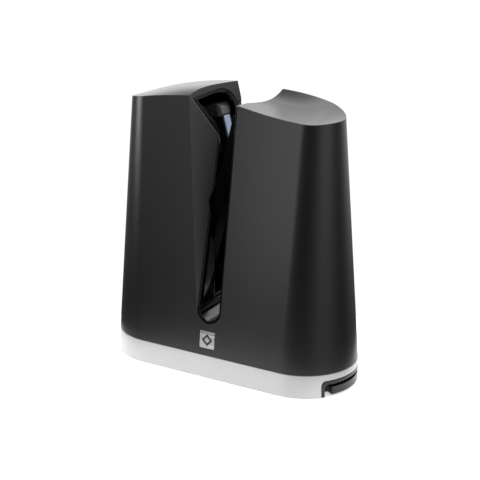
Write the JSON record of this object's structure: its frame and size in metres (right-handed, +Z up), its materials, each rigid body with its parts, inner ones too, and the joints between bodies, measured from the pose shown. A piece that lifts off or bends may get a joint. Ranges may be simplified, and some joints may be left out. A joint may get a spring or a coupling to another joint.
{
  "type": "table-top knife sharpener",
  "caption": "Table-top knife sharpener: tapered black shell with a deep knife slot, crossing sprung stone arms and a stone drawer in a silver base band",
  "frame": {"origin": "middle of the base outline, on the table, under the feet", "axes": "+Z up, X along the long side with the drawer end at +X, Y along the knife slot with the badge side at -Y"},
  "size_m": [0.1977, 0.0818, 0.2096],
  "materials": {
    "satin_black_plastic": "satin",
    "gloss_black_plastic": "gloss",
    "silver_band": "satin silver",
    "badge_metal": "brushed",
    "steel": "drawn and zinc plated",
    "rubber": "matte",
    "grey_plastic": "satin",
    "ceramic_stone": "fine matte",
    "fine_stone": "fine matte"
  },
  "bodies": {
    "housing": {"base_band": "silver_band", "base_deck": "satin_black_plastic", "base_plate": "satin_black_plastic", "base_screw_1": "steel", "base_screw_2": "steel", "base_screw_3": "steel", "base_screw_4": "steel", "doorway_rim": "grey_plastic", "drawer_rail_front": "satin_black_plastic", "drawer_rail_rear": "satin_black_plastic", "emblem_plate": "badge_metal", "foot_front_left": "rubber", "foot_front_right": "rubber", "foot_rear_left": "rubber", "foot_rear_right": "rubber", "frame_plate_front": "steel", "frame_plate_rear": "steel", "frame_screw_1": "steel", "frame_screw_2": "steel", "frame_screw_3": "steel", "frame_screw_4": "steel", "housing_shell": "satin_black_plastic", "left_arm_pin": "steel", "left_arm_spacer": "satin_black_plastic", "left_arm_spring": "steel", "left_pin_clip": "steel", "left_rest_rod": "steel", "left_rest_sleeve": "rubber", "left_rod_clip": "steel", "left_spring_guide": "satin_black_plastic", "right_arm_pin": "steel", "right_arm_spacer": "satin_black_plastic", "right_arm_spring": "steel", "right_pin_clip": "steel", "right_rest_rod": "steel", "right_rest_sleeve": "rubber", "right_rod_clip": "steel", "right_spring_guide": "satin_black_plastic", "shell_screw_1": "steel", "shell_screw_2": "steel", "shell_screw_3": "steel", "shell_screw_4": "steel", "slot_floor": "gloss_black_plastic", "slot_liner_left": "gloss_black_plastic", "slot_liner_right": "gloss_black_plastic"},
    "left_arm_body": {"left_arm": "satin_black_plastic", "left_stone": "ceramic_stone", "left_stone_cap": "grey_plastic", "left_cap_pin": "steel"},
    "right_arm_body": {"right_arm": "satin_black_plastic", "right_stone": "ceramic_stone", "right_stone_cap": "satin_black_plastic", "right_cap_pin": "steel"},
    "drawer": {"drawer_front": "satin_black_plastic", "drawer_tray": "satin_black_plastic", "spare_stone_1": "fine_stone", "spare_stone_2": "ceramic_stone", "spare_stone_3": "fine_stone", "spare_stone_4": "ceramic_stone"}
  },
  "joints": [
    {"name": "left_arm_swing", "type": "hinge", "parent": "housing", "child": "left_arm_body", "pos_m": [0.03069, 0.007, 0.03], "axis": [0, -1, 0], "range_deg": [0, 6.5], "stiffness_Nm_per_rad": 0.5, "springref_deg": -17.19},
    {"name": "right_arm_swing", "type": "hinge", "parent": "housing", "child": "right_arm_body", "pos_m": [-0.03769, -0.007, 0.03], "axis": [0, 1, 0], "range_deg": [0, 6.5], "stiffness_Nm_per_rad": 0.5, "springref_deg": -17.19},
    {"name": "drawer_slide", "type": "slide", "parent": "housing", "child": "drawer", "axis": [1, 0, 0], "range_m": [0, 0.085]}
  ]
}
